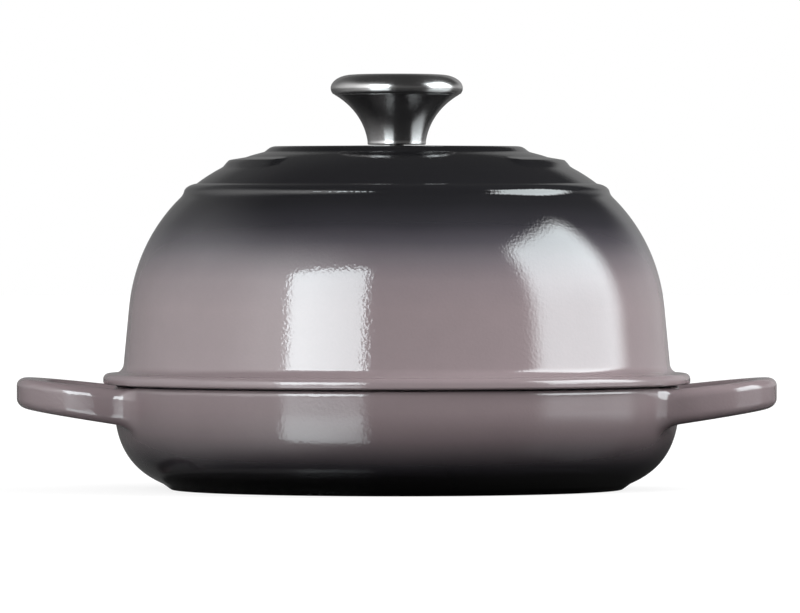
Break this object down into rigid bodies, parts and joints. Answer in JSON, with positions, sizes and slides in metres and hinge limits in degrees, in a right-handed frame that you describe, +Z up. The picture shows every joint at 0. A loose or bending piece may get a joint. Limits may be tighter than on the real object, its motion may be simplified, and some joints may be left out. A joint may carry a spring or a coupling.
{
  "type": "cast iron bread oven",
  "caption": "Round enamelled bread oven: a shallow pan with loop handles and raised floor ridges, and a tall domed lid with a flange, stepped crown and steel mushroom knob.",
  "frame": {"origin": "on the surface the oven stands on, under the middle of the pan", "axes": "+Z up along the axis of the pan and lid, +X along the line through both handles, -Y towards the picture's camera"},
  "size_m": [0.3274, 0.253, 0.1791],
  "materials": {
    "pan_enamel": "glossy vitreous enamel, mauve grey that darkens to black at the foot; matt black inside",
    "lid_enamel": "glossy vitreous enamel, charcoal at the crown to mauve grey at the flange; matt black inside",
    "knob_steel": "stainless steel, brushed round the axis",
    "fixing_steel": "plain stainless steel"
  },
  "bodies": {
    "pan": {"base_pan": "pan_enamel"},
    "lid_carrier": {"screw_washer": "fixing_steel"},
    "lid": {"domed_lid": "lid_enamel", "knob_cap": "knob_steel", "knob_stem": "knob_steel", "knob_bush": "fixing_steel", "knob_screw": "fixing_steel"}
  },
  "joints": [
    {"name": "lid_lift", "type": "slide", "parent": "pan", "child": "lid_carrier", "axis": [0, 0, 1], "range_m": [0, 0.15]},
    {"name": "lid_turn", "type": "hinge", "parent": "lid_carrier", "child": "lid", "pos_m": [0, 0, 0.1426], "axis": [0, 0, 1], "continuous": true}
  ]
}
